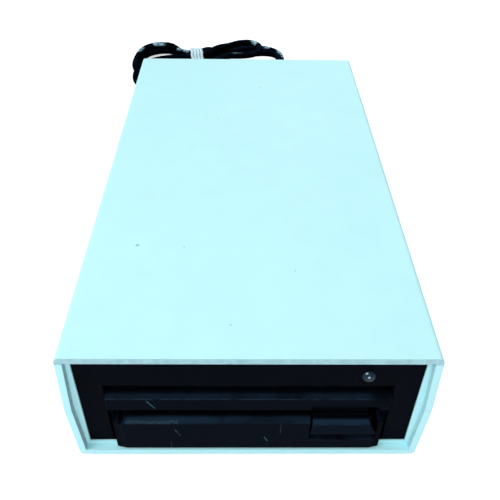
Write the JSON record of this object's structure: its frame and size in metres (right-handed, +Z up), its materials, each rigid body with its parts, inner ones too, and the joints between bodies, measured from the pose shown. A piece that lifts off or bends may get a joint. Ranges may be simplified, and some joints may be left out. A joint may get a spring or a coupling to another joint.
{
  "type": "floppy disk drive",
  "caption": "Free-standing external floppy disk drive: slim split plastic case, dark front with a flapped disk slot, eject button and lamp, and a tied data cord behind.",
  "frame": {"origin": "on the table, under the middle of the case", "axes": "+Z up, +Y from the front with the disk slot to the rear with the cord, +X to the right seen from the front"},
  "size_m": [0.1546, 0.3905, 0.0577],
  "materials": {
    "case_plastic": "fine moulded grain, satin",
    "panel_plastic": "fine moulded grain, satin black",
    "fascia_plastic": "fine moulded grain, satin black",
    "button_plastic": "smoother black, worn at its edge",
    "foot_rubber": "matte",
    "screw_steel": "zinc plated",
    "chassis_metal": "cast and bead blasted",
    "sheet_steel": "zinc plated sheet",
    "polished_steel": "ground and polished",
    "rotor_steel": "turned and plated",
    "motor_metal": "zinc plated can",
    "motor_base_board": "green lacquered board with copper coils",
    "carriage_plastic": "filled moulded plastic",
    "head_ceramic": "polished ceramic",
    "bearing_brass": "turned",
    "sensor_plastic": "black moulded plastic",
    "board_green": "green lacquer over copper tracks",
    "chip_plastic": "bare black moulding",
    "capacitor_sleeve": "shrunk sleeve, bare",
    "connector_plastic": "moulded",
    "power_plastic": "natural nylon",
    "ribbon_plastic": "ribbed grey insulation",
    "lamp_plastic": "cloudy clear lens, unlit",
    "cord_plastic": "smooth flexible sheath",
    "tie_string": "twisted white string",
    "plug_plastic": "moulded, ribbed grip",
    "plug_metal": "nickel plated",
    "plug_insert": "plated pins in a dark disc"
  },
  "bodies": {
    "case": {"board_headers": "connector_plastic", "board_screws": "screw_steel", "cable_plugs": "connector_plastic", "case_screws": "screw_steel", "cord_hank": "cord_plastic", "cord_lead": "cord_plastic", "cord_tail": "cord_plastic", "cord_tie": "tie_string", "cover_screws": "screw_steel", "data_connector": "connector_plastic", "drive_chassis": "chassis_metal", "drive_fascia": "fascia_plastic", "drive_screws": "screw_steel", "eject_springs": "polished_steel", "front_panel": "panel_plastic", "guide_rods": "polished_steel", "interface_board": "board_green", "interface_capacitors": "capacitor_sleeve", "interface_chips": "chip_plastic", "lamp_clip": "sensor_plastic", "lamp_lens": "lamp_plastic", "logic_board": "board_green", "logic_chips": "chip_plastic", "lower_shell": "case_plastic", "motor_base": "motor_base_board", "plug_body": "plug_plastic", "plug_pins": "plug_insert", "plug_shell": "plug_metal", "power_cable": "ribbon_plastic", "power_connector": "power_plastic", "rear_panel": "panel_plastic", "ribbon_cable": "ribbon_plastic", "rubber_feet": "foot_rubber", "screw_bearing": "bearing_brass", "stepper_motor": "motor_metal", "strain_relief": "cord_plastic", "top_cover": "sheet_steel", "track_sensor": "sensor_plastic", "upper_shell": "case_plastic"},
    "eject": {"eject_button": "button_plastic", "slide_plate": "sheet_steel"},
    "holder": {"disk_holder": "sheet_steel", "holder_pins": "polished_steel"},
    "flap": {"dust_flap": "fascia_plastic"},
    "spindle": {"spindle_rotor": "rotor_steel", "spindle_hub": "polished_steel"},
    "screw": {"lead_screw": "polished_steel"},
    "carriage": {"head_carriage": "carriage_plastic", "lower_head": "head_ceramic"},
    "arm": {"upper_arm": "carriage_plastic", "upper_head": "head_ceramic", "arm_pin": "polished_steel"}
  },
  "joints": [
    {"name": "eject_slide", "type": "slide", "parent": "case", "child": "eject", "axis": [0, -1, 0], "range_m": [0, 0.006], "deforming": ["eject_springs"]},
    {"name": "holder_lift", "type": "slide", "parent": "case", "child": "holder", "axis": [0, 0, -1], "range_m": [0, 0.0032]},
    {"name": "flap_hinge", "type": "hinge", "parent": "case", "child": "flap", "pos_m": [0, -0.1111, 0.0288], "axis": [1, 0, 0], "range_deg": [0, 85], "stiffness_Nm_per_rad": 0.001, "springref_deg": -17.19},
    {"name": "spindle_spin", "type": "hinge", "parent": "case", "child": "spindle", "pos_m": [0, -0.0575, 0.0185], "axis": [0, 0, 1], "continuous": true},
    {"name": "screw_turn", "type": "hinge", "parent": "case", "child": "screw", "pos_m": [0.021, 0.0125, 0.0205], "axis": [0, 1, 0], "range_deg": [0, 1440]},
    {"name": "carriage_slide", "type": "slide", "parent": "case", "child": "carriage", "axis": [0, -1, 0], "range_m": [0, 0.015]},
    {"name": "arm_lift", "type": "hinge", "parent": "carriage", "child": "arm", "pos_m": [0, 0.0195, 0.0274], "axis": [1, 0, 0], "range_deg": [0, 8.8]}
  ],
  "couplings": [
    {"joint": "holder_lift", "follows": "eject_slide", "ratio": 0.5333},
    {"joint": "arm_lift", "follows": "eject_slide", "rad_per_m": 25.59},
    {"joint": "screw_turn", "follows": "carriage_slide", "rad_per_m": 1675.5}
  ]
}
